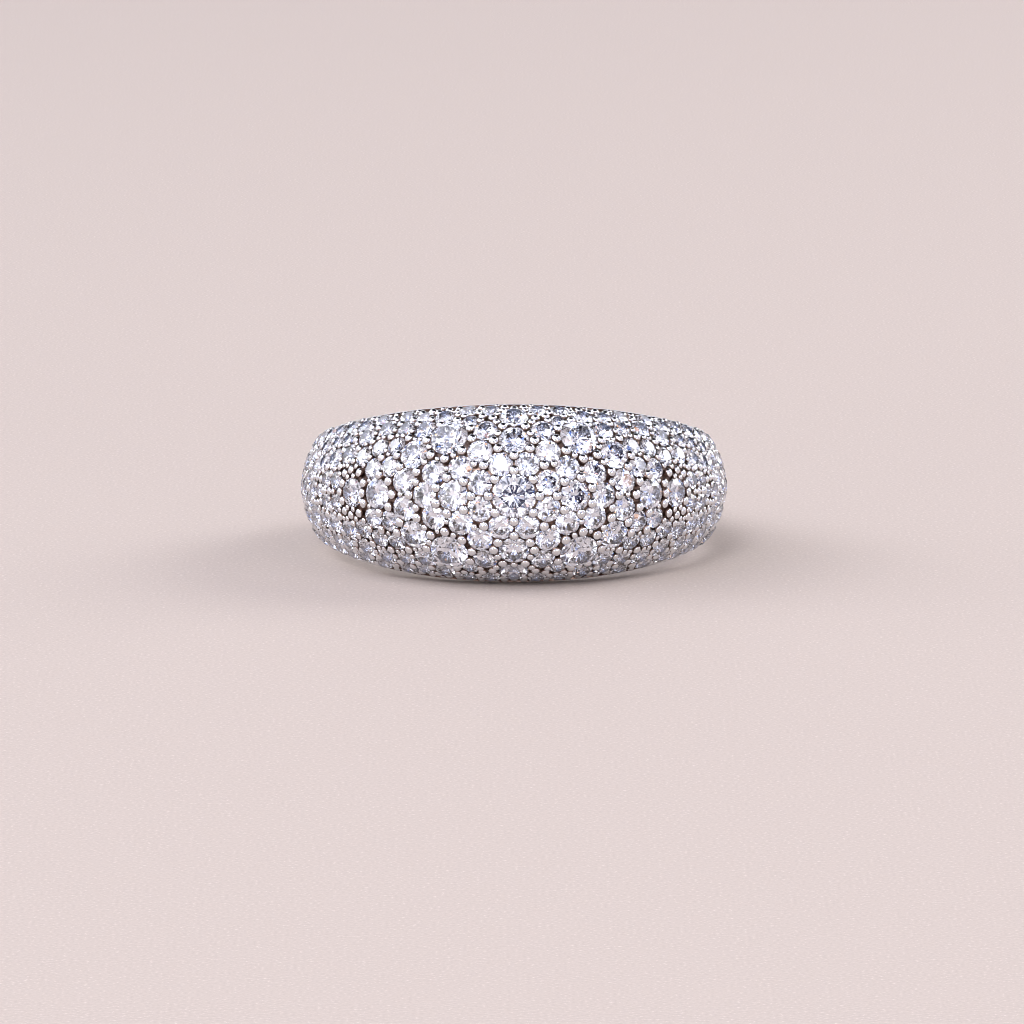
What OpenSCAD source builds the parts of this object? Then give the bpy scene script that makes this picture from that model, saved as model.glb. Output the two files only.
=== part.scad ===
// Dome ring: a wide domed band of white metal, covered in pave-set round stones of mixed sizes.
// All sizes are in millimetres. The ring lies on its side, as it rests by itself: +Z is up,
// the top of the dome faces -Y, and the origin is the middle of the finger hole.
// A place on the dome is given by two numbers. Its turn is the angle around the finger, 0 at the top
// of the dome. Its reach runs across the band along its arc, from -1 at one edge to 1 at the other.

/* [Band] */
// Inside diameter of the finger hole
finger_d = 17.3; // [16.5:0.1:18.5]
// Width of the band at the top of the dome
dome_w = 8.5; // [8.2:0.1:9]
// Width of the band at the back of the shank
shank_w = 3.8; // [3:0.1:4.6]
// Thickness of the metal at the top of the dome
dome_t = 3.9; // [3.5:0.1:4.2]
// Thickness of the metal at the back of the shank
shank_t = 1.3; // [1.1:0.1:1.7]
// Thickness of the flat edge on each side of the band
edge_t = 0.6; // [0.45:0.05:0.8]
// How quickly the width falls from the top of the dome to the back
width_fall = 4; // [3:0.25:5]
// How quickly the thickness falls from the top of the dome to the back
thickness_fall = 7; // [5:0.25:8]

/* [Stones] */
// Diameter of the stone at the top of the dome
centre_d = 2.0; // [1.7:0.05:2.1]
// Diameter of the four large stones
large_d = 1.8; // [1.5:0.05:1.9]
// Diameter of the medium stones
medium_d = 1.4; // [1.2:0.05:1.5]
// Diameter of the small stones between them
small_d = 1.12; // [1:0.02:1.2]
// Largest diameter of the stones that fill the rest of the dome
fill_d = 1.12; // [1.1:0.02:1.3]
// Smallest diameter of the stones that fill the rest of the dome
least_d = 0.7; // [0.7:0.05:0.9]
// Depth of a stone, as a share of its diameter
stone_depth = 0.59; // [0.5:0.01:0.65]
// Height of a stone's crown, as a share of its diameter
crown_share = 0.15; // [0.1:0.01:0.2]
// Width of a stone's table, as a share of its diameter
table_share = 0.56; // [0.5:0.01:0.65]
// Least gap between two stones
stone_gap = 0.1; // [0.1:0.01:0.14]
// Clearance between a stone and its seat
seat_gap = 0.03; // [0.02:0.005:0.04]

/* [Setting] */
// Width of the plain rim between the outer stones and the edge
rim_w = 0.12; // [0.08:0.02:0.2]
// Angle from the top of the dome to the end of the stones on each side
pave_end = 98; // [92:1:106]
// Diameter of a prong bead
bead_d = 0.32; // [0.28:0.01:0.34]
// Height of a prong bead's middle above the dome
bead_rise = 0.17; // [0.16:0.01:0.2]
// Diameter of the stem under a prong bead
stem_d = 0.18; // [0.14:0.01:0.2]

/* [Hidden] */
finger_r = finger_d / 2;
// Degrees in a radian, to turn an arc's angle into its length
radian = 180 / PI;
// Facets around a cut stone, and the thickness of its widest part as a share of its diameter
stone_sides = 8;
girdle_share = 0.03;
pavilion_share = stone_depth - crown_share - girdle_share;
// Sections of the band around the finger, and steps along the arc of each
section_count = 48;
arc_steps = 12;
// Facets of a bead and its stem, and of the finger hole
bead_facets = 32;
bore_facets = 180;
// Distance between the places that are tried for a stone or a bead
place_step = 0.06;
// How much a fill stone's own size counts against the spare room around it
size_weight = 8;
// A place this close to the middle of the dome lies on it, and has no mirror image of its own
on_middle = 0.001;
// A charted stone's turn is searched from 0 to this angle, in this many halvings
search_end = 80;
halvings = 24;
// Metal left around a bead's stem, how deep the stem is rooted, and the least space between beads
stem_web = 0.02;
stem_root = 0.3;
bead_space = bead_d * 1.5;
// How far a bead may stand out past the rim
bead_past_rim = 0.05;
// How far a seat's cutter reaches above the dome
seat_clear = 0.05;
// Angle at which the ring lies: the dome's rim and the back of the shank both touch the surface
rest_tilt = atan2((dome_w - shank_w) / 2, 2 * finger_r + edge_t);

// Sizes that the fill stones take in turn, as shares of fill_d
FILL_SHARES = [0.88, 0.88, 1, 0.83];

// The larger stones, charted by eye on the upper right quarter of the dome as seen from the front, and
// mirrored to the others. A stone with a name is a piece of its own, one without is in the field.
// name, diameter, place beside the middle as a share of finger_r, place above it as a share of dome_w / 2
CHART = [
    ["side_stone_a", medium_d, 0.334, 0],
    ["side_stone_b", medium_d, 0.753, 0],
    ["side_stone_c", medium_d, 0.894, 0],
    ["cross_stone_a", medium_d, 0, 0.615],
    ["cross_stone_b", medium_d, 0, 0.877],
    ["large_stone", large_d, 0.357, 0.637],
    ["medium_stone", medium_d, 0.549, 0.45],
    ["", small_d, 0.492, 0],
    ["", small_d, 0.187, 0.148],
    ["", small_d, 0.074, 0.353],
    ["", small_d, 0.187, 0.49],
    ["", small_d, 0.294, 0.307],
    ["", small_d, 0.441, 0.25],
    ["", small_d, 0.605, 0.154],
    ["", small_d, 0.158, 0.723],
    ["", small_d, 0.487, 0.717],
];

// Half width and thickness of the band at a turn
function front(turn) = sqrt((1 + cos(turn)) / 2);
function half_w(turn) = (shank_w + (dome_w - shank_w) * pow(front(turn), width_fall)) / 2;
function thick(turn) = shank_t + (dome_t - shank_t) * pow(front(turn), thickness_fall);

// Radius of the band's arc at a turn, the angle from its crown to its edge, and the length of that half
function arc_r(turn) =
    let (rise = thick(turn) - edge_t)
    (half_w(turn) ^ 2 + rise ^ 2) / (2 * rise);
function arc_end(turn) = atan2(half_w(turn), arc_r(turn) - (thick(turn) - edge_t));
function arc_length(turn) = arc_end(turn) * arc_r(turn) / radian;

// Distance from the finger's axis at a turn, where the arc has leant over by an angle
function out_at(turn, lean) = finger_r + thick(turn) - arc_r(turn) * (1 - cos(lean));

// Point of the dome at a turn and a reach, and the outward direction there
function dome_at(turn, reach) =
    let (lean = reach * arc_end(turn))
    let (out = out_at(turn, lean))
    [out * sin(turn), -out * cos(turn), arc_r(turn) * sin(lean)];
function outward(turn, reach) =
    let (step = 0.01)
    let (around = dome_at(turn + step, reach) - dome_at(turn - step, reach))
    let (across = dome_at(turn, reach + step) - dome_at(turn, reach - step))
    let (normal = cross(around, across))
    normal / norm(normal);

// Turn at which a point of the dome at a given height lies a given way beside the middle, by halving
function lean_at(turn, high) = asin(min(1, high / arc_r(turn)));
function turn_at(aside, high, low = 0, top = search_end, tries = halvings) =
    let (mid = (low + top) / 2)
    let (past = out_at(mid, lean_at(mid, high)) * sin(mid) > aside)
    tries == 0 ? mid : turn_at(aside, high, past ? low : mid, past ? mid : top, tries - 1);

// A stone or bead is its point on the dome, the outward direction and its radius
function set_at(turn, reach, r) = [dome_at(turn, reach), outward(turn, reach), r];
function charted(row) =
    let (high = row[3] * dome_w / 2)
    let (turn = row[2] == 0 ? 0 : turn_at(row[2] * finger_r, high))
    set_at(turn, lean_at(turn, high) / arc_end(turn), row[1] / 2);
function room(p, stones) = min([for (s = stones) norm(p - s[0]) - s[2]]);

// Room beside the two planes that mirror a quarter: a place on a plane is its own mirror image
function mirror_room(p, gap) = min([for (v = [p[0], p[2]]) v < on_middle ? dome_w : v - gap / 2]);

// Places on one quarter of the dome: turn, reach, point, room to the edges of the field
function places() = [
    for (turn = [0:place_step / (finger_r + dome_t) * radian:pave_end])
    let (long = arc_length(turn) - rim_w)
    let (end_room = (pave_end - turn) / radian * (finger_r + thick(turn)))
    for (across = [0:place_step:long])
    let (reach = across / arc_length(turn))
    [turn, reach, dome_at(turn, reach), min(long - across, end_room)]
];

// Fills a quarter: each stone goes where it lies closest to two neighbours
function fill(open, found = []) =
    len(open) == 0 ? found
    : let (most = fill_d * FILL_SHARES[len(found) % len(FILL_SHARES)] / 2)
    let (scores = [for (p = open) min(p[3], most) * size_weight - p[3] - p[4]])
    let (best = open[search(max(scores), scores)[0]])
    let (s = set_at(best[0], best[1], min(best[3], most)))
    fill([
        for (p = open)
        let (r = norm(p[2] - s[0]) - s[2] - stone_gap)
        let (first = min(p[3], r))
        if (first >= least_d / 2)
        [p[0], p[1], p[2], first, r < p[3] ? p[3] : min(p[4], r)]
    ], concat(found, [s]));
function fill_stones(near) = fill([
    for (p = places())
    let (edge = min(mirror_room(p[2], stone_gap), p[3]))
    if (edge >= least_d / 2)
    let (r = room(p[2], near) - stone_gap)
    if (r >= least_d / 2)
    [p[0], p[1], p[2], min(r, edge), max(r, edge)]
]);

// Beads stand in the widest gaps between the stones
function bead_fill(open, found = []) =
    len(open) == 0 ? found
    : let (rooms = [for (p = open) p[3]])
    let (best = open[search(max(rooms), rooms)[0]])
    bead_fill([for (p = open) if (norm(p[2] - best[2]) > bead_space) p],
        concat(found, [set_at(best[0], best[1], bead_d / 2)]));
function beads_between(stones) =
    let (least = stem_d / 2 + seat_gap + stem_web)
    bead_fill([
        for (p = places())
        let (top = p[2][2] + outward(p[0], p[1])[2] * (bead_rise + bead_d / 2))
        if (mirror_room(p[2], bead_space) >= 0 && top <= half_w(p[0]) + bead_past_rim)
        let (r = room(p[2], stones))
        if (r >= least)
        [p[0], p[1], p[2], r]
    ]);

centre_stone = set_at(0, 0, centre_d / 2);
charted_stones = [for (row = CHART) charted(row)];
main_stones = concat([centre_stone], charted_stones);

// A stone or bead and its mirror images in the other quarters
function sides(v) = v > on_middle ? [1, -1] : [1];
function flip(s, x, z) = [[s[0][0] * x, s[0][1], s[0][2] * z], [s[1][0] * x, s[1][1], s[1][2] * z], s[2]];
function mirrored(set) = [for (s = set) for (x = sides(s[0][0])) for (z = sides(s[0][2])) flip(s, x, z)];
function side_name(s, x, z) =
    str(len(sides(s[0][2])) == 1 ? "" : z > 0 ? "_upper" : "_lower",
        len(sides(s[0][0])) == 1 ? "" : x > 0 ? "_right" : "_left");

// The ring's own frame, laid on its side
module lie_down() {
    rotate([-rest_tilt, 0, 0])
    children();
}

// Turns a piece so that its own +Z points out of the dome, and puts it there
module on_dome(s) {
    translate(s[0])
    rotate([0, acos(s[1][2]), atan2(s[1][1], s[1][0])])
    children();
}

// Band without its hole: sections around the finger, each an arc, two flat edges and a back inside the hole
module band_body() {
    back = finger_r - edge_t;
    size = arc_steps + 3;
    points = [
        for (i = [0:section_count - 1])
        let (turn = i * 360 / section_count)
        each [
            for (k = [0:arc_steps]) dome_at(turn, 2 * k / arc_steps - 1),
            for (side = [1, -1]) [back * sin(turn), -back * cos(turn), side * half_w(turn)]
        ]
    ];
    faces = [
        for (i = [0:section_count - 1])
        for (k = [0:size - 1])
        let (this = i * size)
        let (next = (i + 1) % section_count * size)
        let (after = (k + 1) % size)
        for (face = [[this + k, this + after, next + after], [this + k, next + after, next + k]])
        face
    ];
    polyhedron(points, faces);
}

// A seat is a pyramid around the stone's pavilion, with as many sides as the stone
module seat(r) {
    deep = pavilion_share * 2 * r + seat_gap;
    over = 1 + seat_clear / deep;
    translate([0, 0, -deep])
    cylinder(r1 = 0, r2 = (r + seat_gap) * over, h = deep * over, $fn = stone_sides);
}

// A round bead stands on a stem between the seats
module bead() {
    translate([0, 0, bead_rise])
    sphere(d = bead_d, $fn = bead_facets);
    translate([0, 0, -stem_root])
    cylinder(d = stem_d, h = stem_root + bead_rise, $fn = bead_facets);
}

// Shank, dome, rims, seats and beads, in one piece of metal
module band() {
    quarter_stones = concat(main_stones, fill_stones(main_stones));
    color("silver")
    lie_down() {
        difference() {
            band_body();
            cylinder(r = finger_r, h = 2 * dome_w, center = true, $fn = bore_facets);
            for (s = mirrored(quarter_stones)) on_dome(s) seat(s[2]);
        }
        for (s = mirrored(beads_between(quarter_stones))) on_dome(s) bead();
    }
}

// A cut stone with a table, a crown, a thin girdle that stands on the dome, and a pavilion with a point
module cut_stone(r) {
    n = stone_sides;
    d = 2 * r;
    rings = [[table_share * r, (girdle_share + crown_share) * d], [r, girdle_share * d], [r, 0]];
    points = [
        for (ring = rings)
        for (i = [0:n - 1])
        [ring[0] * cos(i * 360 / n), ring[0] * sin(i * 360 / n), ring[1]]
    ];
    tip = [0, 0, -pavilion_share * d];
    table = [for (i = [n - 1:-1:0]) i];
    belts = [for (k = [0, n]) for (i = [0:n - 1]) [k + i, k + (i + 1) % n, k + n + (i + 1) % n, k + n + i]];
    pavilion = [for (i = [0:n - 1]) [2 * n + i, 2 * n + (i + 1) % n, 3 * n]];
    polyhedron(concat(points, [tip]), concat([table], belts, pavilion));
}

module set_stone(s) {
    color("lavender")
    lie_down()
    on_dome(s)
    cut_stone(s[2]);
}

// The field of small stones on one side of the dome: -1 is the left, 1 the right
module pave_field(side) {
    small = [for (i = [0:len(CHART) - 1]) if (CHART[i][0] == "") charted_stones[i]];
    for (s = mirrored(concat(small, fill_stones(main_stones))))
    if (side > 0 ? s[0][0] > 0 : s[0][0] <= 0)
    set_stone(s);
}

// The charted stones that are pieces of their own: name, stone
PIECES = [
    for (i = [0:len(CHART) - 1])
    let (s = charted_stones[i])
    if (CHART[i][0] != "")
    for (x = sides(s[0][0]))
    for (z = sides(s[0][2]))
    [str(CHART[i][0], side_name(s, x, z)), flip(s, x, z)]
];

band();
set_stone(centre_stone);
for (piece = PIECES) set_stone(piece[1]);
pave_field(-1);  // pave_left
pave_field(1);  // pave_right
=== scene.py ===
import logging
import math
from dataclasses import dataclass, field
from enum import Enum
from typing import Any, Mapping, Optional, Sequence

import bmesh
import bpy
import numpy as np
from mathutils import Matrix, Vector


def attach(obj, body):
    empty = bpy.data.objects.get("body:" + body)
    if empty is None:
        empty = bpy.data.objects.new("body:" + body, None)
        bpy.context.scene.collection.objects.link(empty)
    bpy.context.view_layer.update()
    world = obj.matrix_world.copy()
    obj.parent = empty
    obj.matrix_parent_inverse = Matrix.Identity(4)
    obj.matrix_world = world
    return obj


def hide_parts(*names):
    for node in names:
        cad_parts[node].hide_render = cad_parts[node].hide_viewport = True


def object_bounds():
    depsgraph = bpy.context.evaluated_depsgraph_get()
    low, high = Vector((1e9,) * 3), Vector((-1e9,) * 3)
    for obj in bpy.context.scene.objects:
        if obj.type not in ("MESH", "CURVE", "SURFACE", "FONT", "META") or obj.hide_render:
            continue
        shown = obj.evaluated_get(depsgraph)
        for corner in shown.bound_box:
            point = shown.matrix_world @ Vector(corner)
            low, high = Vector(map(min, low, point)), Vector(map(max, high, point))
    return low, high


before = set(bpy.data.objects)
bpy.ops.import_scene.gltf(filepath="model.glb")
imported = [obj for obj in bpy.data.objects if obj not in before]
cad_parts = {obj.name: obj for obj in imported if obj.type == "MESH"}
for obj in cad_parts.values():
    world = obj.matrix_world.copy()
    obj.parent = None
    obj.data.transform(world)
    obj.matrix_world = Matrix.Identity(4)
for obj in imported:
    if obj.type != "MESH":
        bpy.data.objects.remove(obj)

# The ring is drawn in its own frame in millimetres, with the finger hole's axis along Z and the top of
# the dome towards -Y, as in the part's source. Each finished mesh is then laid on its side, in metres.
MM = 0.001
CAD_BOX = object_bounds()
# A place this close to the middle of the dome lies on it, and a place this far from others has room.
ON_MIDDLE = 0.001
FAR_OFF = 10.0

log = logging.getLogger("dome_ring")


class Slot(Enum):
    """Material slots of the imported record."""

    METAL = "white_metal"
    STONE = "clear_stone"


class Tone(Enum):
    """Finishes on the band's metal, in the order of its material slots. The second is cut-down metal
    darkened with painted shade.
    """

    POLISHED = 0
    CUT_DOWN_SHADED = 1


def srgb(code: str) -> tuple[float, float, float, float]:
    """Turns an sRGB hex colour into linear RGBA.

    Args:
        code: Six hex digits.

    Returns:
        Linear red, green and blue, and an alpha of 1.
    """
    parts = [int(code[i : i + 2], 16) / 255 for i in (0, 2, 4)]
    linear = [p / 12.92 if p <= 0.04045 else ((p + 0.055) / 1.055) ** 2.4 for p in parts]
    return linear[0], linear[1], linear[2], 1.0


def set_stops(ramp: bpy.types.ColorRamp, stops: Sequence[tuple[float, Sequence[float]]]) -> None:
    """Sets a ramp's colours.

    Args:
        ramp: The ramp.
        stops: Places from 0 to 1, with their linear colours.
    """
    while len(ramp.elements) < len(stops):
        ramp.elements.new(0.5)
    for element, (place, colour) in zip(ramp.elements, stops):
        element.position = place
        element.color = tuple(colour)


def add_node(
    tree: bpy.types.NodeTree,
    kind: str,
    settings: Optional[Mapping[Any, Any]] = None,
    links: Optional[Mapping[Any, bpy.types.NodeSocket]] = None,
) -> bpy.types.Node:
    """Adds one node to a tree.

    Args:
        tree: The node tree.
        kind: The node's type name.
        settings: Properties of the node, values of its inputs by name or number, or a ramp's stops.
        links: Output sockets to link into the node, by input name or number.

    Returns:
        The new node.
    """
    node = tree.nodes.new(kind)
    for name, value in (settings or {}).items():
        if name == "stops":
            set_stops(node.color_ramp, value)
        elif isinstance(name, str) and hasattr(node, name):
            setattr(node, name, value)
        else:
            node.inputs[name].default_value = value
    for name, source in (links or {}).items():
        tree.links.new(source, node.inputs[name])
    return node


def blank_material(name: str) -> bpy.types.Material:
    """Returns a new material whose node tree is empty."""
    material = bpy.data.materials.new(name)
    material.use_nodes = True
    material.node_tree.nodes.clear()
    return material


def span(factors: tuple[float, float], values: tuple[float, float]) -> list[tuple[float, tuple[float, ...]]]:
    """Lists the stops of a ramp that runs from one grey to another between two factors."""
    return [(factor, (value, value, value, 1.0)) for factor, value in zip(factors, values)]


@dataclass
class Shape:
    """Points in millimetres, and the faces between them."""

    points: np.ndarray
    faces: list[tuple[int, ...]]

    def moved(self, turn: np.ndarray, place: Sequence[float], size: Sequence[float] = (1, 1, 1)) -> "Shape":
        """Returns the shape scaled, turned by a 3 x 3 matrix and moved."""
        points = (self.points * np.asarray(size)) @ turn.T + np.asarray(place)
        return Shape(points, self.faces)


def join(shapes: Sequence[Shape]) -> Shape:
    """Joins shapes into one.

    Args:
        shapes: The shapes to join.

    Returns:
        One shape with all their points and faces.
    """
    faces: list[tuple[int, ...]] = []
    start = 0
    for shape in shapes:
        faces += [tuple(i + start for i in face) for face in shape.faces]
        start += len(shape.points)
    return Shape(np.vstack([shape.points for shape in shapes]), faces)


def mesh_object(name: str, shape: Shape) -> bpy.types.Object:
    """Makes an object from a shape, with outward normals, and links it to the scene.

    Args:
        name: Name of the object and its mesh.
        shape: The shape, in millimetres.

    Returns:
        The new object.
    """
    mesh = bpy.data.meshes.new(name)
    mesh.from_pydata([tuple(p) for p in shape.points.tolist()], [], shape.faces)
    bm = bmesh.new()
    bm.from_mesh(mesh)
    bmesh.ops.recalc_face_normals(bm, faces=bm.faces)
    bm.to_mesh(mesh)
    bm.free()
    thing = bpy.data.objects.new(name, mesh)
    bpy.context.scene.collection.objects.link(thing)
    return thing


@dataclass(frozen=True)
class Dome:
    """The band's form, with the sizes and curves of the part's source, in millimetres and degrees."""

    finger_d: float = 17.3
    dome_w: float = 8.5
    shank_w: float = 3.8
    dome_t: float = 3.9
    shank_t: float = 1.3
    edge_t: float = 0.6
    width_fall: float = 4.0
    thickness_fall: float = 7.0
    rim_w: float = 0.12
    pave_end: float = 98.0
    limb_from: float = 30.0
    limb_to: float = 80.0
    sink_front: float = 0.03
    sink_rim: float = 0.13
    cut_front: float = 0.06
    cut_rim: float = 0.1

    def limb(self, share: float) -> float:
        """Finds how far a place of the dome has turned away.

        Args:
            share: The share of its outward direction that points to the front, or that lies level.

        Returns:
            A share that rises from 0 where it faces that way to 1 where it has turned aside.
        """
        aside = math.degrees(math.acos(max(-1.0, min(1.0, float(share)))))
        turned = min(1.0, max(0.0, (aside - self.limb_from) / (self.limb_to - self.limb_from)))
        return turned * turned * (3 - 2 * turned)

    def sink(self, level: float) -> float:
        """Depth that a stone is let into the dome, more towards the rims, where the stones lie flush."""
        return self.sink_front + (self.sink_rim - self.sink_front) * self.limb(level)

    def cut(self, level: float) -> float:
        """Depth that the metal is cut down between the stones."""
        return self.cut_front + (self.cut_rim - self.cut_front) * self.limb(level)

    @property
    def finger_r(self) -> float:
        """Radius of the finger hole."""
        return self.finger_d / 2

    @property
    def lie(self) -> Matrix:
        """Matrix that lays the ring on its side and turns millimetres into metres."""
        tilt = math.atan2((self.dome_w - self.shank_w) / 2, self.finger_d + self.edge_t)
        return Matrix.Rotation(-tilt, 4, "X") @ Matrix.Scale(MM, 4)

    def front(self, turn: np.ndarray) -> np.ndarray:
        """Share that falls from 1 at the top of the dome to 0 at the back."""
        return np.sqrt((1 + np.cos(np.radians(turn))) / 2)

    def half_w(self, turn: np.ndarray) -> np.ndarray:
        """Half width of the band at a turn."""
        return (self.shank_w + (self.dome_w - self.shank_w) * self.front(turn) ** self.width_fall) / 2

    def thick(self, turn: np.ndarray) -> np.ndarray:
        """Thickness of the band at a turn."""
        return self.shank_t + (self.dome_t - self.shank_t) * self.front(turn) ** self.thickness_fall

    def arc_r(self, turn: np.ndarray) -> np.ndarray:
        """Radius of the band's arc at a turn."""
        rise = self.thick(turn) - self.edge_t
        return (self.half_w(turn) ** 2 + rise**2) / (2 * rise)

    def arc_end(self, turn: np.ndarray) -> np.ndarray:
        """Angle from the arc's crown to its edge at a turn, in radians."""
        return np.arctan2(self.half_w(turn), self.arc_r(turn) - (self.thick(turn) - self.edge_t))

    def arc_length(self, turn: np.ndarray) -> np.ndarray:
        """Length of the arc from its crown to its edge."""
        return self.arc_end(turn) * self.arc_r(turn)

    def point(self, turn: np.ndarray, reach: np.ndarray) -> np.ndarray:
        """Finds points of the dome.

        Args:
            turn: Angles around the finger, 0 at the top of the dome.
            reach: Places across the band, from -1 at one edge to 1 at the other.

        Returns:
            The points, one row each.
        """
        lean = reach * self.arc_end(turn)
        arc = self.arc_r(turn)
        out = self.finger_r + self.thick(turn) - arc * (1 - np.cos(lean))
        around = np.radians(turn)
        return np.stack([out * np.sin(around), -out * np.cos(around), arc * np.sin(lean)], -1)

    def outward(self, turn: np.ndarray, reach: np.ndarray, step: float = 0.01) -> np.ndarray:
        """Finds the outward directions at points of the dome.

        Args:
            turn: Angles around the finger.
            reach: Places across the band.
            step: Half the step between the two points that give each slope.

        Returns:
            Unit directions, one row each.
        """
        around = self.point(turn + step, reach) - self.point(turn - step, reach)
        across = self.point(turn, reach + step) - self.point(turn, reach - step)
        normal = np.cross(around, across)
        return normal / np.linalg.norm(normal, axis=-1, keepdims=True)


@dataclass(frozen=True)
class Seated:
    """A stone or bead on the dome: its place, its outward direction and its radius."""

    place: np.ndarray
    out: np.ndarray
    radius: float

    @property
    def forward(self) -> float:
        """Share of the outward direction that points to the front of the ring."""
        return -float(self.out[1])

    @property
    def level(self) -> float:
        """Share of the outward direction that lies level."""
        return math.hypot(float(self.out[0]), float(self.out[1]))

    def let_in(self, depth: float, wider: float = 0.0) -> "Seated":
        """Returns the piece let into the dome by a depth, and made wider."""
        return Seated(self.place - self.out * depth, self.out, self.radius + wider)

    def facing(self, spin: float = 0.0) -> np.ndarray:
        """Finds the turn that points a piece's own +Z out of the dome.

        Args:
            spin: Extra turn about the piece's own axis, in radians.

        Returns:
            A 3 x 3 matrix.
        """
        polar = math.acos(max(-1.0, min(1.0, float(self.out[2]))))
        around = math.atan2(self.out[1], self.out[0])
        aimed = Matrix.Rotation(around, 3, "Z") @ Matrix.Rotation(polar, 3, "Y")
        return np.array(aimed @ Matrix.Rotation(spin, 3, "Z"))

    def mirrored(self) -> list["Seated"]:
        """Returns the piece with its mirror images in the other quarters of the dome."""
        sides = [(1, -1) if self.place[i] > ON_MIDDLE else (1,) for i in (0, 2)]
        flips = [np.array([x, 1, z]) for x in sides[0] for z in sides[1]]
        return [Seated(self.place * flip, self.out * flip, self.radius) for flip in flips]


@dataclass(frozen=True)
class RhodiumPolish:
    """Rhodium-plated sterling silver, tumbled and buffed to a mirror.

    The plating is a cool, slightly dark white. Buffing leaves faint cloudy hairlines, which show as
    small changes in gloss along the band.
    """

    name: str = "rhodium_plated_silver_polished"
    colour: str = "D4D5D9"
    # Real hairlines are about 0.02 mm wide. They are drawn coarser, so that they show.
    hairline_mm: float = 0.25
    detail: float = 3.0
    roughness: float = 0.6
    spread: tuple[float, float] = (0.3, 0.7)
    gloss: tuple[float, float] = (0.05, 0.14)

    def build(self) -> bpy.types.Material:
        """Returns the material."""
        material = blank_material(self.name)
        tree = material.node_tree
        where = add_node(tree, "ShaderNodeTexCoord")
        marks = add_node(
            tree,
            "ShaderNodeTexNoise",
            {"Scale": 1 / (self.hairline_mm * MM), "Detail": self.detail, "Roughness": self.roughness},
            {"Vector": where.outputs["Object"]},
        )
        stops = span(self.spread, self.gloss)
        rough = add_node(tree, "ShaderNodeValToRGB", {"stops": stops}, {"Fac": marks.outputs["Fac"]})
        shader = add_node(
            tree,
            "ShaderNodeBsdfPrincipled",
            {"Base Color": srgb(self.colour), "Metallic": 1.0},
            {"Roughness": rough.outputs["Color"]},
        )
        add_node(tree, "ShaderNodeOutputMaterial", links={"Surface": shader.outputs["BSDF"]})
        return material


@dataclass(frozen=True)
class ShadedCutDownMetal:
    """Silver cut down between the stones with a graver, too deep for the buff to reach.

    It stays duller than the rims. Its warm brown-grey colour, darker in patches, is painted shade where the
    metal lies between the stones.
    """

    name: str = "silver_cut_down_painted_shade"
    # Both tones are painted shade between the stones, the darker one in patches.
    colour: str = "8A766C"
    painted_shade: str = "402A24"
    # About the width of one graver stroke.
    patch_mm: float = 0.3
    detail: float = 2.0
    painted_shade_spread: tuple[float, float] = (0.35, 0.65)
    spread: tuple[float, float] = (0.3, 0.7)
    gloss: tuple[float, float] = (0.5, 0.3)

    def build(self) -> bpy.types.Material:
        """Returns the material."""
        material = blank_material(self.name)
        tree = material.node_tree
        where = add_node(tree, "ShaderNodeTexCoord")
        patches = add_node(
            tree,
            "ShaderNodeTexNoise",
            {"Scale": 1 / (self.patch_mm * MM), "Detail": self.detail},
            {"Vector": where.outputs["Object"]},
        )
        patch = {"Fac": patches.outputs["Fac"]}
        tones = list(zip(self.painted_shade_spread, (srgb(self.painted_shade), srgb(self.colour))))
        colour = add_node(tree, "ShaderNodeValToRGB", {"stops": tones}, patch)
        rough = add_node(tree, "ShaderNodeValToRGB", {"stops": span(self.spread, self.gloss)}, patch)
        shader = add_node(
            tree,
            "ShaderNodeBsdfPrincipled",
            {"Metallic": 1.0},
            {"Base Color": colour.outputs["Color"], "Roughness": rough.outputs["Color"]},
        )
        add_node(tree, "ShaderNodeOutputMaterial", links={"Surface": shader.outputs["BSDF"]})
        return material


@dataclass(frozen=True)
class CutZirconia:
    """Cubic zirconia, cut as round brilliants and polished on tin laps.

    It is clear, and bends light so strongly that most of it turns back out of the crown: each facet
    is either bright or dark, with cool tints.
    """

    name: str = "cubic_zirconia_brilliant_cut"
    colour: str = "F2F6FF"
    ior: float = 2.17

    def build(self) -> bpy.types.Material:
        """Returns the material."""
        material = blank_material(self.name)
        tree = material.node_tree
        shader = add_node(
            tree,
            "ShaderNodeBsdfPrincipled",
            {
                "Base Color": srgb(self.colour),
                "Roughness": 0.0,
                "IOR": self.ior,
                "Transmission Weight": 1.0,
            },
        )
        add_node(tree, "ShaderNodeOutputMaterial", links={"Surface": shader.outputs["BSDF"]})
        return material


@dataclass(frozen=True)
class PaperBoard:
    """Uncoated matt board, calendered smooth: a warm pale grey with a faint grain and a few pale fibres."""

    name: str = "matt_paper_board"
    colour: str = "CFC3BB"
    shade: str = "C5B9B1"
    speck: str = "DED3CC"
    spread: tuple[float, float, float] = (0.3, 0.62, 0.7)
    # Real fibres are about 0.03 mm wide. They are drawn coarser, so that they show.
    grain_mm: float = 0.15
    detail: float = 4.0
    roughness: float = 0.85
    specular: float = 0.2

    def build(self) -> bpy.types.Material:
        """Returns the material."""
        material = blank_material(self.name)
        tree = material.node_tree
        where = add_node(tree, "ShaderNodeTexCoord")
        grain = add_node(
            tree,
            "ShaderNodeTexNoise",
            {"Scale": 1 / (self.grain_mm * MM), "Detail": self.detail},
            {"Vector": where.outputs["Object"]},
        )
        tones = list(zip(self.spread, (srgb(self.shade), srgb(self.colour), srgb(self.speck))))
        colour = add_node(tree, "ShaderNodeValToRGB", {"stops": tones}, {"Fac": grain.outputs["Fac"]})
        shader = add_node(
            tree,
            "ShaderNodeBsdfPrincipled",
            {"Roughness": self.roughness, "Specular IOR Level": self.specular},
            {"Base Color": colour.outputs["Color"]},
        )
        add_node(tree, "ShaderNodeOutputMaterial", links={"Surface": shader.outputs["BSDF"]})
        return material


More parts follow.
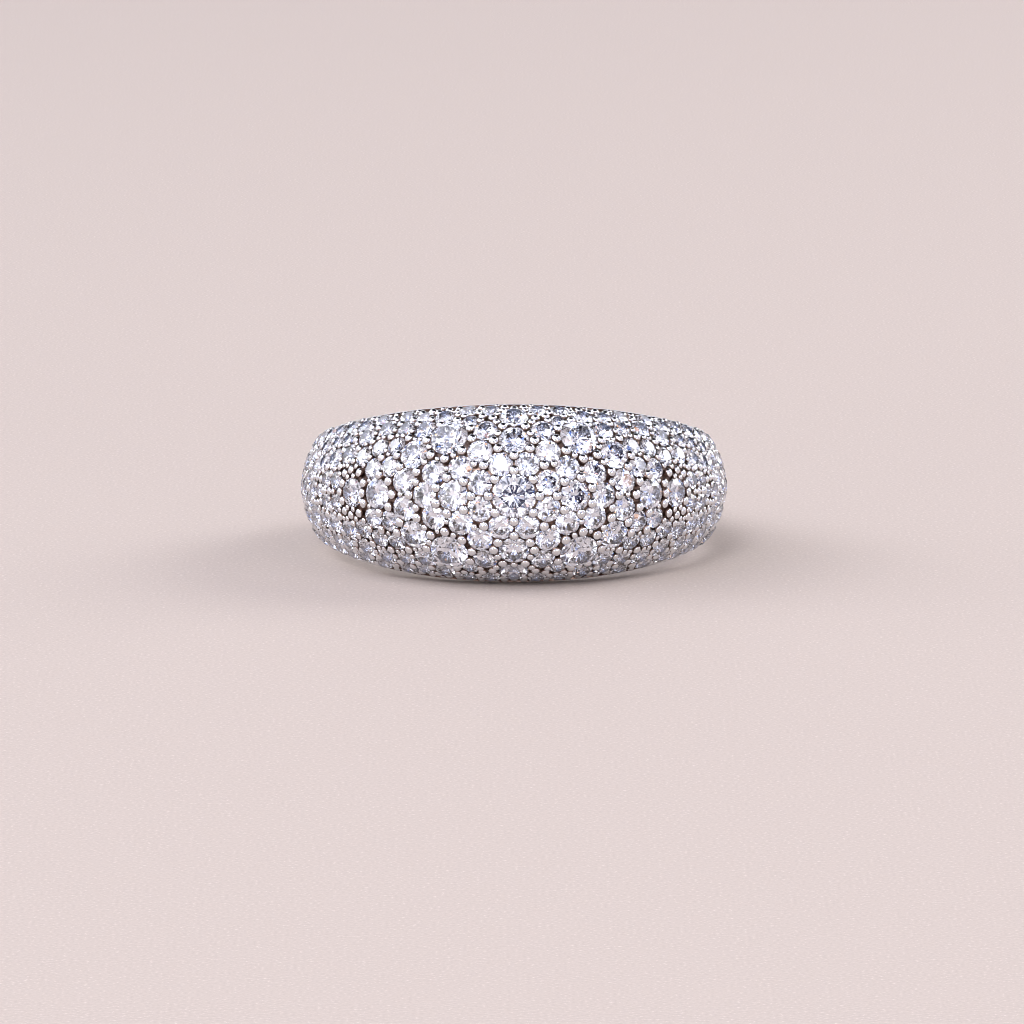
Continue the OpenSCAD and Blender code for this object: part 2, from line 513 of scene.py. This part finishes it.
@dataclass(frozen=True)
class Brilliant:
    """Round brilliant cut, with a radius of 1, scaled to each stone.

    The girdle's lower edge lies at height 0, on the dome, and the shares are of the diameter, as in
    the part's source.
    """

    table_share: float = 0.56
    crown_share: float = 0.15
    girdle_share: float = 0.03
    pavilion_share: float = 0.41
    star_r: float = 0.77
    lower_r: float = 0.16
    sides: int = 8
    girdle_per_side: int = 4

    def shape(self) -> Shape:
        """Builds the 57 facets and the girdle.

        Returns:
            The cut stone, with a radius of 1.
        """
        girdle, top = 2 * self.girdle_share, 2 * (self.girdle_share + self.crown_share)
        deep = 2 * self.pavilion_share
        sides, per_side = self.sides, self.girdle_per_side
        count, half = sides * per_side, math.pi / sides
        crown_slope = (top - girdle) / (1 - self.table_share)
        star_z = girdle + (1 - self.star_r * math.cos(half)) * crown_slope
        lower_z = -deep + self.lower_r * math.cos(half) * deep

        def ring(many: int, radius: float, z: float, start: float = 0.0) -> list[tuple[float, float, float]]:
            """Returns points around the axis."""
            turns = [start + 2 * math.pi * i / many for i in range(many)]
            return [(radius * math.cos(t), radius * math.sin(t), z) for t in turns]

        table = ring(sides, self.table_share, top)
        stars = ring(sides, self.star_r, star_z, half)
        upper = ring(count, 1.0, girdle)
        under = ring(count, 1.0, 0.0)
        lower = ring(sides, self.lower_r, lower_z, half)
        points = table + stars + upper + under + lower + [(0.0, 0.0, -deep)]
        star0, upper0 = sides, 2 * sides
        under0 = upper0 + count
        lower0 = under0 + count
        tip = lower0 + sides
        faces: list[tuple[int, ...]] = [tuple(range(sides))]
        for i in range(sides):
            after, before = (i + 1) % sides, (i - 1) % sides
            at = [(per_side * i + k) % count for k in range(per_side + 1)]
            faces.append((i, star0 + i, after))
            faces.append((i, star0 + before, upper0 + at[0], star0 + i))
            faces.append((star0 + i, upper0 + at[0], upper0 + at[1], upper0 + at[2]))
            faces.append((star0 + i, upper0 + at[2], upper0 + at[3], upper0 + at[4]))
            faces.append((lower0 + i, under0 + at[2], under0 + at[1], under0 + at[0]))
            faces.append((lower0 + i, under0 + at[4], under0 + at[3], under0 + at[2]))
            faces.append((tip, lower0 + i, under0 + at[0], lower0 + before))
        for i in range(count):
            after = (i + 1) % count
            faces.append((upper0 + i, under0 + i, under0 + after, upper0 + after))
        return Shape(np.array(points), faces)


@dataclass
class Stones:
    """The cut stones, each in the place and size of its solid.

    Those that face the front are drawn a little wider, by `closer` millimetres at most, so that they
    stand as close as set stones do.
    """

    dome: Dome
    material: bpy.types.Material
    cut: Brilliant = field(default_factory=Brilliant)
    closer: float = 0.045
    closer_fall: float = 1.5
    weld: float = 1e-7
    seed: int = 7
    seated: list[Seated] = field(default_factory=list)
    shown: list[Seated] = field(default_factory=list)

    def _solids(self, name: str) -> list[np.ndarray]:
        """Splits a node's mesh into its loose solids.

        Args:
            name: The node's name.

        Returns:
            The points of each solid, in the ring's own frame, in millimetres.
        """
        bm = bmesh.new()
        bm.from_mesh(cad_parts[name].data)
        bmesh.ops.remove_doubles(bm, verts=bm.verts, dist=self.weld)
        back = self.dome.lie.inverted()
        solids, seen = [], set()
        for start in bm.verts:
            if start in seen:
                continue
            seen.add(start)
            group = [start]
            for vertex in group:
                for edge in vertex.link_edges:
                    other = edge.other_vert(vertex)
                    if other not in seen:
                        seen.add(other)
                        group.append(other)
            solids.append(np.array([tuple(back @ v.co) for v in group]))
        bm.free()
        return solids

    def _seat(self, points: np.ndarray) -> Seated:
        """Finds where a stone's solid is set.

        Args:
            points: The solid's points.

        Returns:
            The middle of its girdle's lower edge, its axis and its radius.
        """
        middle = points.mean(0)
        axis = np.linalg.svd(points - middle)[2][2]
        height = (points - middle) @ axis
        if height.max() > -height.min():
            axis, height = -axis, -height
        aside = points - middle - np.outer(height, axis)
        radius = float(np.linalg.norm(aside, axis=1).max())
        place = middle + axis * (height.min() + 2 * radius * self.cut.pavilion_share)
        return Seated(place, axis, radius)

    def build(self) -> list[bpy.types.Object]:
        """Cuts the stones of every stone node, and replaces the node.

        Returns:
            One object for each node.
        """
        spins = np.random.default_rng(self.seed)
        facet = 2 * math.pi / self.cut.sides
        brilliant = self.cut.shape()
        pieces = []
        for name in sorted(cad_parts):
            if name == "band":
                continue
            found = [self._seat(points) for points in self._solids(name)]
            self.seated += found
            shapes = []
            for s in found:
                wider = self.closer * max(0.0, 1 - self.closer_fall * self.dome.limb(s.forward))
                stone = s.let_in(self.dome.sink(s.level), wider)
                self.shown.append(stone)
                spin = spins.uniform(0, facet) if len(found) > 1 else facet / 2
                shapes.append(brilliant.moved(s.facing(spin), stone.place, (stone.radius,) * 3))
            piece = mesh_object(name + "_cut", join(shapes))
            piece.data.materials.append(self.material)
            piece.data.transform(self.dome.lie)
            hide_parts(name)
            pieces.append(piece)
            log.info("%s: %d cut stones", piece.name, len(found))
        return pieces


@dataclass
class Band:
    """Shank, dome and rims, cut down between the stones, with a seat for each stone.

    Sizes are in millimetres. The metal between the stones is cut down up to the end of the field, and
    fades out over `cut_fade` degrees.
    """

    dome: Dome
    polished: bpy.types.Material
    shaded_cut_down: bpy.types.Material
    sections: int = 300
    columns: int = 56
    bore_columns: int = 10
    rim_top: float = 0.08
    wall: float = 0.02
    edge_round: float = 0.05
    bore_round: float = 0.15
    seat_gap: float = 0.02
    seat_under: float = 0.03
    seat_over: float = 0.04
    seat_sides: int = 32
    cut_fade: float = 1.5
    round_steps: int = 4
    crease: float = 30.0

    def _rounded(
        self, corner: Sequence[float], before: Sequence[float], after: Sequence[float]
    ) -> list[np.ndarray]:
        """Rounds a corner of the section.

        Args:
            corner: The sharp corner.
            before: Where the round starts.
            after: Where it ends.

        Returns:
            Points along the round, both ends included.
        """
        c, a, b = (np.array(p, float) for p in (corner, before, after))
        steps = [i / self.round_steps for i in range(self.round_steps + 1)]
        return [(1 - t) ** 2 * a + 2 * t * (1 - t) * c + t**2 * b for t in steps]

    def _section(self, turn: float) -> tuple[np.ndarray, list[int]]:
        """Draws the band's section at a turn.

        Args:
            turn: Angle around the finger.

        Returns:
            Distances from the finger's axis with heights, and the tone of each column.
        """
        d = self.dome
        end, arc, half, crown = d.arc_end(turn), d.arc_r(turn), d.half_w(turn), d.finger_r + d.thick(turn)
        inside = min(1.0, max(0.0, (d.pave_end + self.cut_fade - turn) / self.cut_fade))

        def on_arc(lean: float, down: float = 0.0) -> list[float]:
            """Returns the arc's point at a lean, sunk by a depth."""
            return [crown - arc + (arc - down) * math.cos(lean), (arc - down) * math.sin(lean)]

        rim = end - self.rim_top / arc
        lip = rim - self.wall / arc
        last = end - self.edge_round / arc
        upper = [np.array(on_arc(lean)) for lean in (rim, (rim + last) / 2)]
        edge = d.finger_r + d.edge_t
        upper += self._rounded((edge, half), on_arc(last), (edge - self.edge_round, half))
        upper += self._rounded(
            (d.finger_r, half), (d.finger_r + self.bore_round, half), (d.finger_r, half - self.bore_round)
        )
        low = [p * (1, -1) for p in reversed(upper)]
        field_points = [
            np.array(on_arc(lean, inside * d.cut(math.cos(lean))))
            for lean in np.linspace(-lip, lip, self.columns)
        ]
        inner = half - self.bore_round
        bore = [np.array([d.finger_r, z]) for z in np.linspace(inner, -inner, self.bore_columns + 2)[1:-1]]
        # The field between the stones gets the cut-down metal, darkened with painted shade.
        tone = Tone.CUT_DOWN_SHADED.value if inside > 0 else Tone.POLISHED.value
        tones = [Tone.POLISHED.value] * (len(low) - 1) + [tone] * (self.columns + 1)
        tones += [Tone.POLISHED.value] * (len(upper) + len(bore))
        return np.array(low + field_points + upper + bore), tones

    def _body(self) -> tuple[Shape, list[int]]:
        """Builds the band without its seats.

        Returns:
            The closed shape, and the tone of each face.
        """
        half = np.linspace(0, 180, self.sections // 2 + 1)
        turns = np.concatenate([half, -half[1:-1][::-1]])
        points, faces, tones = [], [], []
        for turn in turns:
            section, columns = self._section(abs(float(turn)))
            around = math.radians(turn)
            points += [(out * math.sin(around), -out * math.cos(around), z) for out, z in section]
            tones += columns
        size, count = len(columns), len(turns)
        for i in range(count):
            here, there = i * size, (i + 1) % count * size
            for k in range(size):
                after = (k + 1) % size
                faces.append((here + k, here + after, there + after, there + k))
        return Shape(np.array(points), faces), tones

    def _seats(self, stones: Sequence[Seated], pavilion_share: float) -> Shape:
        """Builds the cutter for all the seats.

        Args:
            stones: The stones to seat, as they are shown.
            pavilion_share: Depth of a stone's pavilion, as a share of its diameter.

        Returns:
            One cone for each stone.
        """
        count = self.seat_sides
        turns = [2 * math.pi * i / count for i in range(count)]
        cones = []
        for s in stones:
            deep = pavilion_share * 2 * s.radius + self.seat_gap
            wide = s.radius + self.seat_gap
            top = max(-self.seat_under, self.dome.sink(s.level) - self.dome.cut(s.level) + self.seat_over)
            rings = [(wide, top), (wide, 0.0)] if top > 0 else [(wide * (1 + top / deep), top)]
            points = [(r * math.cos(t), r * math.sin(t), z) for r, z in rings for t in turns]
            points.append((0.0, 0.0, -deep))
            faces: list[tuple[int, ...]] = [tuple(range(count))]
            last = count * (len(rings) - 1)
            if last:
                faces += [(i, i + count, (i + 1) % count + count, (i + 1) % count) for i in range(count)]
            faces += [(last + i, last + count, last + (i + 1) % count) for i in range(count)]
            cones.append(Shape(np.array(points), faces).moved(s.facing(), s.place))
        return join(cones)

    def build(self, stones: Sequence[Seated], pavilion_share: float) -> bpy.types.Object:
        """Makes the band and replaces its node.

        Args:
            stones: The stones to seat.
            pavilion_share: Depth of a stone's pavilion, as a share of its diameter.

        Returns:
            The band's object.
        """
        shape, tones = self._body()
        body = mesh_object("band_body", shape)
        for material in (self.polished, self.shaded_cut_down):
            body.data.materials.append(material)
        body.data.polygons.foreach_set("material_index", tones)
        cutter = mesh_object("seat_cutter", self._seats(stones, pavilion_share))
        for material in (self.polished, self.shaded_cut_down):
            cutter.data.materials.append(material)
        cut = body.modifiers.new("seats", "BOOLEAN")
        cut.operation, cut.object, cut.solver = "DIFFERENCE", cutter, "MANIFOLD"
        bpy.context.view_layer.update()
        done = body.evaluated_get(bpy.context.evaluated_depsgraph_get())
        mesh = bpy.data.meshes.new_from_object(done)
        mesh.name = "smooth_band"
        mesh.transform(self.dome.lie)
        mesh.shade_smooth()
        mesh.set_sharp_from_angle(angle=math.radians(self.crease))
        piece = bpy.data.objects.new("smooth_band", mesh)
        bpy.context.scene.collection.objects.link(piece)
        for scrap in (body, cutter):
            bpy.data.objects.remove(scrap)
        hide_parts("band")
        log.info("%s: %d faces after its seats are cut", piece.name, len(mesh.polygons))
        return piece


@dataclass
class Beads:
    """Round prong beads on stems, in the widest gaps between the stones.

    They are shown as low caps, wider than their solids, that reach a little over the stones beside them. The
    edge of each cap and its stem are darkened with painted shade.
    """

    dome: Dome
    burnished: bpy.types.Material
    painted_shade: bpy.types.Material
    # Sizes and spacing of the beads' solids, which set out the places.
    bead_d: float = 0.32
    bead_rise: float = 0.17
    stem_d: float = 0.18
    seat_gap: float = 0.03
    stem_web: float = 0.02
    space_share: float = 1.5
    past_rim: float = 0.05
    place_step: float = 0.06
    # Radii of the main and the smaller caps, and how far each reaches over the stones beside it.
    shown_r: tuple[float, float] = (0.21, 0.26)
    limb_less: float = 0.2
    small_r: tuple[float, float] = (0.13, 0.24)
    over_stone: float = 0.13
    over_small: float = 0.09
    # Heights of the caps' tops above the dome: in front, at the sides, and at the rims.
    top_front: float = 0.28
    top_limb: float = 0.12
    top_rim: float = 0.03
    low_top: float = 1.2
    # The cap's steepest slope in degrees, and the stem below it as shares of the cap's radius.
    cap_lean: float = 66.0
    stem: tuple[tuple[float, float], ...] = ((0.9, -0.25), (0.7, -2.0))
    around: int = 16
    rows: int = 6
    crease: float = 45.0

    @property
    def cap_top(self) -> float:
        """Height of a bead's cap above its edge, for a radius of 1."""
        return math.tan(math.radians(self.cap_lean) / 2)

    def _grid(self) -> tuple[np.ndarray, np.ndarray, np.ndarray, np.ndarray]:
        """Lists places on one quarter of the dome.

        Returns:
            Their turns, points, outward directions and distances from the rim.
        """
        d = self.dome
        step = math.degrees(self.place_step / (d.finger_r + d.dome_t))
        turns, reaches, rims = [], [], []
        for turn in np.arange(0, d.pave_end + 1e-9, step):
            long = float(d.arc_length(turn))
            across = np.arange(0, long - d.rim_w + 1e-9, self.place_step)
            turns.append(np.full(len(across), turn))
            reaches.append(across / long)
            rims.append(long - across)
        turn, reach, rim = (np.concatenate(values) for values in (turns, reaches, rims))
        return turn, d.point(turn, reach), d.outward(turn, reach), rim

    @staticmethod
    def _room(point: np.ndarray, others: Sequence[Seated]) -> np.ndarray:
        """Returns the distance from each point to the nearest of the other pieces."""
        room = np.full(len(point), FAR_OFF)
        for s in others:
            room = np.minimum(room, np.linalg.norm(point - s.place, axis=1) - s.radius)
        return room

    def set_out(self, stones: Sequence[Seated]) -> list[Seated]:
        """Chooses the main beads' places, the widest gap first, as the part's source does.

        Args:
            stones: All the stones, as their solids are.

        Returns:
            The beads, each with a radius that suits its gap.
        """
        space = self.bead_d * self.space_share
        turn, point, out, _ = self._grid()
        room = self._room(point, stones)
        beside = [(point[:, i] < ON_MIDDLE) | (point[:, i] >= space / 2) for i in (0, 2)]
        top = point[:, 2] + out[:, 2] * (self.bead_rise + self.bead_d / 2)
        least = self.stem_d / 2 + self.seat_gap + self.stem_web
        good = beside[0] & beside[1] & (top <= self.dome.half_w(turn) + self.past_rim) & (room >= least)
        point, out, room = point[good], out[good], room[good]
        found: list[Seated] = []
        while len(room):
            best = int(np.argmax(room))
            small, large = (r * (1 - self.limb_less * self.dome.limb(-out[best][1])) for r in self.shown_r)
            radius = float(np.clip(room[best] + self.over_stone, small, large))
            found += Seated(point[best], out[best], radius).mirrored()
            keep = np.linalg.norm(point - point[best], axis=1) > space
            point, out, room = point[keep], out[keep], room[keep]
        return found

    def fill_in(self, stones: Sequence[Seated], beads: Sequence[Seated]) -> list[Seated]:
        """Chooses smaller beads for the gaps that the main ones leave, also along the rims.

        Args:
            stones: All the stones, as they are shown.
            beads: The main beads.

        Returns:
            The smaller beads.
        """
        _, point, out, rim = self._grid()
        near_stone = self._room(point, stones) + self.over_small
        sides = [np.where(point[:, i] < ON_MIDDLE, FAR_OFF, point[:, i]) for i in (0, 2)]
        limit = np.minimum.reduce([near_stone, *sides, rim, np.full(len(rim), self.small_r[1])])
        near_bead = self._room(point, beads)
        found: list[Seated] = []
        while True:
            radius = np.minimum(limit, near_bead)
            best = int(np.argmax(radius))
            if radius[best] < self.small_r[0]:
                return found
            bead = Seated(point[best], out[best], float(radius[best]))
            found += bead.mirrored()
            near_bead = np.minimum(near_bead, np.linalg.norm(point - bead.place, axis=1) - bead.radius)

    def _tones(self, faces: int) -> list[int]:
        """Lists the tone of each face of a bead: bright on the cap, with painted shade round its edge and on
        its stem.
        """
        bright = self.around * (self.rows - 2)
        return [Tone.POLISHED.value] * bright + [Tone.CUT_DOWN_SHADED.value] * (faces - bright)

    def _bead(self) -> Shape:
        """Builds a low round cap with a radius of 1, with its edge at height 0, on a stem.

        Returns:
            The bead, with the stem's foot at height -2.
        """
        around = self.around
        edge = math.radians(self.cap_lean)
        wide, low = math.sin(edge), math.cos(edge)
        leans = np.linspace(0, edge, self.rows)[1:]
        rings = [(math.sin(lean) / wide, (math.cos(lean) - low) / wide) for lean in leans]
        rings += self.stem
        turns = [2 * math.pi * i / around for i in range(around)]
        points = [(0.0, 0.0, self.cap_top)]
        for radius, z in rings:
            points += [(radius * math.cos(t), radius * math.sin(t), z) for t in turns]
        faces: list[tuple[int, ...]] = [(0, 1 + i, 1 + (i + 1) % around) for i in range(around)]
        for k in range(len(rings) - 1):
            a, b = 1 + k * around, 1 + (k + 1) * around
            faces += [(a + i, b + i, b + (i + 1) % around, a + (i + 1) % around) for i in range(around)]
        faces.append(tuple(range(len(points) - around, len(points))))
        return Shape(np.array(points), faces)

    def build(self, stones: Sequence[Seated], shown: Sequence[Seated]) -> bpy.types.Object:
        """Makes all the beads as one piece.

        Args:
            stones: All the stones, as their solids are.
            shown: All the stones, as they are shown.

        Returns:
            The beads' object.
        """
        bead = self._bead()
        main = self.set_out(stones)
        shapes = []
        for s in main + self.fill_in(shown, main):
            rise = self.top_front + (self.top_limb - self.top_front) * self.dome.limb(s.forward)
            rise += (self.top_rim - self.top_limb) * self.dome.limb(s.level)
            rise = min(rise, self.low_top * s.radius)
            foot = s.place + s.out * (rise - self.cap_top * s.radius)
            shapes.append(bead.moved(s.facing(), foot, (s.radius,) * 3))
        piece = mesh_object("prong_beads", join(shapes))
        for material in (self.burnished, self.painted_shade):
            piece.data.materials.append(material)
        # Each bead's cap edge and stem get the cut-down material, as a painted shade ring round the bead.
        piece.data.polygons.foreach_set("material_index", self._tones(len(bead.faces)) * len(shapes))
        piece.data.transform(self.dome.lie)
        piece.data.shade_smooth()
        piece.data.set_sharp_from_angle(angle=math.radians(self.crease))
        log.info("%s: %d beads", piece.name, len(shapes))
        return piece


@dataclass(frozen=True)
class SoftLight:
    """A round soft light that faces the ring: its place and width in metres, and its watts."""

    name: str
    place: tuple[float, float, float]
    size: float
    watts: float
    colour: str

    def hang(self) -> None:
        """Hangs the light."""
        data = bpy.data.lights.new(self.name, "AREA")
        data.shape, data.size, data.energy = "DISK", self.size, self.watts
        data.color = srgb(self.colour)[:3]
        light = bpy.data.objects.new(self.name, data)
        light.location = self.place
        light.rotation_euler = Vector(self.place).to_track_quat("Z", "Y").to_euler()
        bpy.context.scene.collection.objects.link(light)


@dataclass(frozen=True)
class Flag:
    """A dark round panel far off: its direction, its solid and outer half widths in degrees, its tone."""

    towards: tuple[float, float, float]
    inner: float
    outer: float
    colour: str


@dataclass(frozen=True)
class Studio:
    """Pale floor, soft light and camera. Lengths are in metres, angles in degrees."""

    elevation: float = 10.0
    distance: float = 0.36
    frame_width: float = 0.0501
    stone_px: tuple[float, float] = (514.0, 496.0)
    frame_px: float = 1024.0
    sensor: float = 36.0
    clip: tuple[float, float] = (0.01, 20.0)
    floor_half: float = 3.0
    room_light: float = 1.42
    # Linear tones of the walls, from straight below to straight above, and of the panels hung before
    # them: near black, white, bright white, and a few warm or blue ones that make coloured flashes.
    walls: tuple[tuple[float, tuple[float, ...]], ...] = (
        (0.0, (0.55, 0.52, 0.51, 1)),
        (0.5, (0.62, 0.60, 0.60, 1)),
        (0.6, (0.75, 0.74, 0.78, 1)),
        (1.0, (1.0, 1.0, 1.06, 1)),
    )
    panels: tuple[tuple[float, tuple[float, ...]], ...] = (
        (0.0, (0.01, 0.01, 0.03, 1)),
        (0.34, (0.03, 0.03, 0.08, 1)),
        (0.355, (0.75, 0.75, 0.82, 1)),
        (0.72, (1.15, 1.15, 1.22, 1)),
        (0.75, (2.6, 2.6, 2.7, 1)),
        (0.96, (2.6, 2.6, 2.7, 1)),
        (0.965, (2.4, 1.1, 0.4, 1)),
        (0.975, (2.4, 1.1, 0.4, 1)),
        (0.98, (0.3, 0.6, 1.7, 1)),
    )
    panel_scale: float = 10.0
    # The panels start at the horizon and fade out behind the ring, as shares of a direction's Z and Y.
    panels_above: tuple[float, float] = (0.0, 0.05)
    panels_ahead: tuple[float, float] = (0.35, 0.15)
    flags: tuple[Flag, ...] = (
        Flag((0.16, 0.30, 0.94), 34.0, 38.0, "1C1C20"),
        Flag((0.0, -0.99, 0.135), 8.0, 9.5, "0A0E2C"),
        Flag((-0.50, 0.85, 0.14), 16.0, 19.0, "0A0A10"),
        Flag((0.50, 0.85, 0.14), 16.0, 19.0, "0A0A10"),
    )
    lights: tuple[SoftLight, ...] = (
        SoftLight("key_from_behind_right", (0.52, 0.22, 0.34), 0.40, 1.6, "FFFDFA"),
        SoftLight("fill_from_left", (-0.50, 0.10, 0.30), 0.30, 0.7, "FDFDFF"),
        SoftLight("softbox_in_front", (-0.12, -0.50, 0.42), 0.22, 1.2, "FDFDFF"),
        SoftLight("low_reflector_left", (-0.27, -0.48, 0.05), 0.09, 0.35, "FFFDFA"),
        SoftLight("low_reflector_right", (0.25, -0.50, 0.05), 0.09, 0.35, "FFFDFA"),
    )

    def aim_camera(self, dome: Dome) -> bpy.types.Object:
        """Makes the camera, with the centre stone at its place in the frame.

        Args:
            dome: The ring's form.

        Returns:
            The camera.
        """
        stone = dome.lie @ Vector(dome.point(0.0, 0.0).tolist())
        lift = math.radians(self.elevation)
        towards = Vector((0, -math.cos(lift), math.sin(lift)))
        up = Vector((0, math.sin(lift), math.cos(lift)))
        near = self.distance - stone.dot(towards)
        per_px = self.frame_width / self.frame_px * near / self.distance
        aside = (self.stone_px[0] - self.frame_px / 2) * per_px
        above = (self.frame_px / 2 - self.stone_px[1]) * per_px
        data = bpy.data.cameras.new("camera")
        data.sensor_width = self.sensor
        data.lens = self.sensor * self.distance / self.frame_width
        data.clip_start, data.clip_end = self.clip
        camera = bpy.data.objects.new("camera", data)
        camera.location = stone - Vector((aside, 0, 0)) - up * above + towards * near
        camera.rotation_euler = (math.radians(90) - lift, 0, 0)
        bpy.context.scene.collection.objects.link(camera)
        bpy.context.scene.camera = camera
        return camera

    def lay_floor(self, height: float, material: bpy.types.Material) -> bpy.types.Object:
        """Lays the floor under the ring.

        Args:
            height: Height of the ring's lowest point.
            material: The floor's material.

        Returns:
            The floor.
        """
        half = self.floor_half
        corners = np.array([(-half, -half, 0), (half, -half, 0), (half, half, 0), (-half, half, 0)])
        floor = mesh_object("floor", Shape(corners, [(0, 1, 2, 3)]))
        floor.location.z = height
        floor.data.materials.append(material)
        return floor

    def light(self) -> None:
        """Hangs the lights and sets the room around them."""
        for soft in self.lights:
            soft.hang()
        bpy.context.scene.world = self._room()

    @staticmethod
    def _between(low: float, high: float) -> dict[str, float]:
        """Returns the settings that map a value between two limits to a share from 0 to 1."""
        return {"From Min": low, "From Max": high}

    def _room(self) -> bpy.types.World:
        """Builds the room: white walls, bright and dark panels before them, and dark flags.

        Returns:
            The world.
        """
        world = bpy.data.worlds.new("studio_room")
        world.use_nodes = True
        tree = world.node_tree
        tree.nodes.clear()
        where = add_node(tree, "ShaderNodeTexCoord").outputs["Generated"]
        axes = add_node(tree, "ShaderNodeSeparateXYZ", links={"Vector": where}).outputs
        height = add_node(tree, "ShaderNodeMapRange", self._between(-1.0, 1.0), {"Value": axes["Z"]})
        walls = add_node(
            tree, "ShaderNodeValToRGB", {"stops": self.walls}, {"Fac": height.outputs["Result"]}
        )
        cells = add_node(
            tree, "ShaderNodeTexVoronoi", {"Scale": self.panel_scale, "Randomness": 1.0}, {"Vector": where}
        )
        draw = add_node(tree, "ShaderNodeSeparateColor", links={"Color": cells.outputs["Color"]})
        panels = add_node(tree, "ShaderNodeValToRGB", {"stops": self.panels}, {"Fac": draw.outputs["Red"]})
        above = add_node(tree, "ShaderNodeMapRange", self._between(*self.panels_above), {"Value": axes["Z"]})
        ahead = add_node(tree, "ShaderNodeMapRange", self._between(*self.panels_ahead), {"Value": axes["Y"]})
        hung = add_node(
            tree,
            "ShaderNodeMath",
            {"operation": "MULTIPLY"},
            {0: above.outputs["Result"], 1: ahead.outputs["Result"]},
        )
        # A colour mix has its share, its two colours and its result at 0, 6, 7 and 2.
        lit = add_node(
            tree,
            "ShaderNodeMix",
            {"data_type": "RGBA", "blend_type": "MULTIPLY"},
            {0: hung.outputs["Value"], 6: walls.outputs["Color"], 7: panels.outputs["Color"]},
        ).outputs[2]
        for flag in self.flags:
            along = add_node(
                tree, "ShaderNodeVectorMath", {"operation": "DOT_PRODUCT", 1: flag.towards}, {0: where}
            )
            edge = self._between(math.cos(math.radians(flag.outer)), math.cos(math.radians(flag.inner)))
            share = add_node(tree, "ShaderNodeMapRange", edge, {"Value": along.outputs["Value"]})
            lit = add_node(
                tree,
                "ShaderNodeMix",
                {"data_type": "RGBA", 7: srgb(flag.colour)},
                {0: share.outputs["Result"], 6: lit},
            ).outputs[2]
        back = add_node(tree, "ShaderNodeBackground", {"Strength": self.room_light}, {"Color": lit})
        add_node(tree, "ShaderNodeOutputWorld", links={"Surface": back.outputs["Background"]})
        return world


@dataclass(frozen=True)
class LightPaths:
    """How light is followed: sharp pixels, and enough turns for it to leave the stones again."""

    filter_width: float = 0.9
    bounces: int = 24
    in_stone: int = 16

    def apply(self, scene: bpy.types.Scene) -> None:
        """Sets the scene's light paths and its plain colour transform."""
        scene.view_settings.view_transform = "Standard"
        scene.cycles.filter_width = self.filter_width
        scene.cycles.max_bounces = self.bounces
        scene.cycles.glossy_bounces = scene.cycles.transmission_bounces = self.in_stone


def main() -> None:
    """Dresses the ring and sets the scene around it."""
    logging.basicConfig(level=logging.INFO, format="%(message)s")
    LightPaths().apply(bpy.context.scene)
    dome, studio = Dome(), Studio()
    studio.aim_camera(dome)
    polished = RhodiumPolish().build()
    stones = Stones(dome, CutZirconia().build())
    pieces = stones.build()
    # Cut-down metal, darkened with painted shade, for the field between the stones and round the beads.
    shaded_cut_down = ShadedCutDownMetal().build()
    pieces.append(Band(dome, polished, shaded_cut_down).build(stones.shown, stones.cut.pavilion_share))
    burnished = RhodiumPolish(
        "rhodium_plated_silver_burnished", colour="E4E5E8", hairline_mm=0.12, gloss=(0.015, 0.05)
    ).build()
    pieces.append(Beads(dome, burnished, shaded_cut_down).build(stones.seated, stones.shown))
    for piece in pieces:
        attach(piece, "root")
    studio.lay_floor(CAD_BOX[0][2], PaperBoard().build())
    studio.light()
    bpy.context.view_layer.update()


if __name__ == "__main__":
    main()
